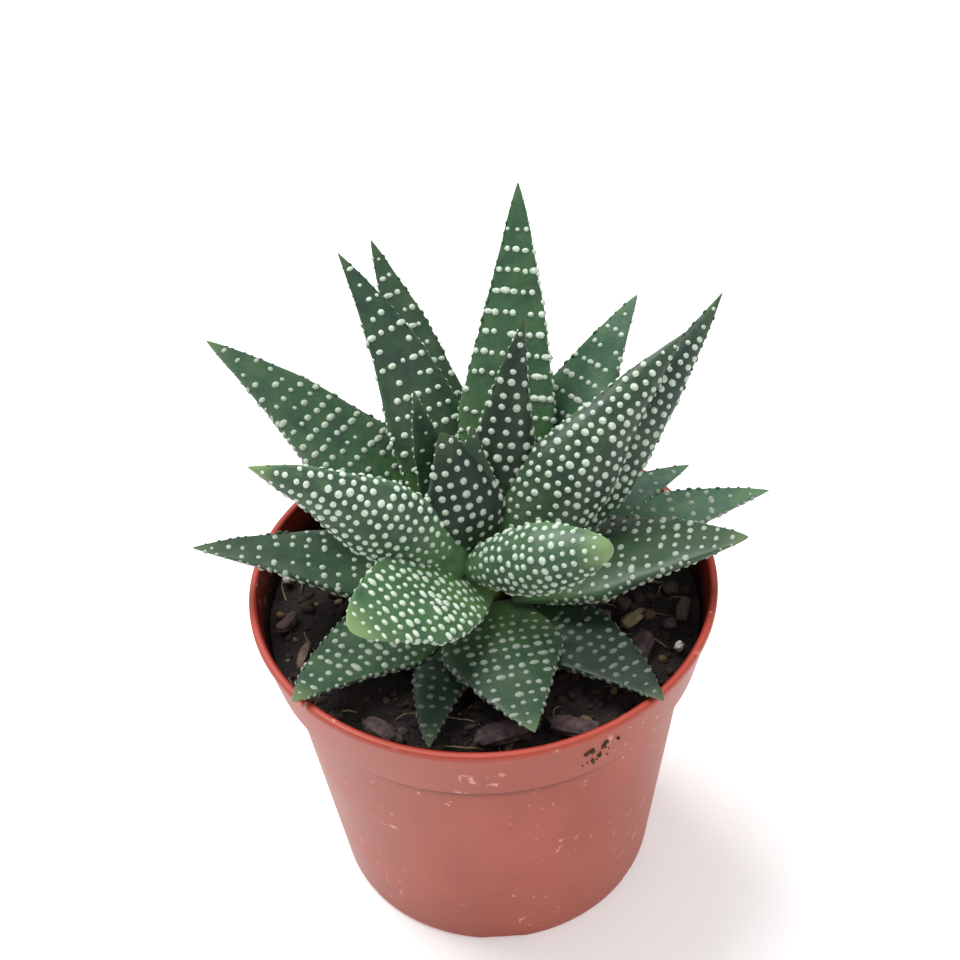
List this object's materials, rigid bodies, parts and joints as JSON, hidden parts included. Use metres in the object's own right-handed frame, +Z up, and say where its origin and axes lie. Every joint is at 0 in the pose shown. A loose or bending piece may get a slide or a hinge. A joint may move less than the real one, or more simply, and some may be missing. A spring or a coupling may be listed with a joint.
{
  "type": "potted haworthia",
  "caption": "Rosette succulent with pointed, white-warted green leaves, growing in soil in a tapered terracotta-coloured plastic nursery pot with a collar and lip.",
  "frame": {"origin": "centre of the pot's flat underside, which is the plane that the pot stands on", "axes": "+Z up along the pot's axis, -Y towards the front, +X to the right seen from the front"},
  "size_m": [0.1284, 0.1093, 0.157],
  "materials": {
    "terracotta_plastic": "thin injection-moulded polypropylene in a terracotta orange, satin, with pale scuffs and a few soil specks",
    "peat_soil": "damp dark peat mix, matt and crumbly, with bark fibres and fine roots",
    "plant_stem": "short fleshy stem hidden by the leaf bases",
    "leaf_flesh": "firm deep green succulent skin with a soft waxy sheen, paler at the base, covered in raised white warts",
    "bark": "broken composted bark, dark brown, matt and fibrous",
    "perlite": "off-white expanded mineral grains, matt and pitted"
  },
  "bodies": {
    "root": {"pot": "terracotta_plastic", "potting_soil": "peat_soil", "stem": "plant_stem", "leaf_01": "leaf_flesh", "leaf_02": "leaf_flesh", "leaf_03": "leaf_flesh", "leaf_04": "leaf_flesh", "leaf_05": "leaf_flesh", "leaf_06": "leaf_flesh", "leaf_07": "leaf_flesh", "leaf_08": "leaf_flesh", "leaf_09": "leaf_flesh", "leaf_10": "leaf_flesh", "leaf_11": "leaf_flesh", "leaf_12": "leaf_flesh", "leaf_13": "leaf_flesh", "leaf_14": "leaf_flesh", "leaf_15": "leaf_flesh", "leaf_16": "leaf_flesh", "leaf_17": "leaf_flesh", "leaf_18": "leaf_flesh", "leaf_19": "leaf_flesh", "leaf_20": "leaf_flesh", "leaf_21": "leaf_flesh", "leaf_22": "leaf_flesh", "leaf_23": "leaf_flesh", "leaf_24": "leaf_flesh", "leaf_25": "leaf_flesh", "bark_chip_01": "bark", "bark_chip_02": "bark", "bark_chip_03": "bark", "bark_chip_04": "bark", "bark_chip_05": "bark", "bark_chip_06": "bark", "bark_chip_07": "bark", "bark_chip_08": "bark", "bark_chip_09": "bark", "bark_chip_10": "bark", "perlite_grain_01": "perlite", "perlite_grain_02": "perlite", "perlite_grain_03": "perlite", "perlite_grain_04": "perlite"}
  },
  "joints": []
}
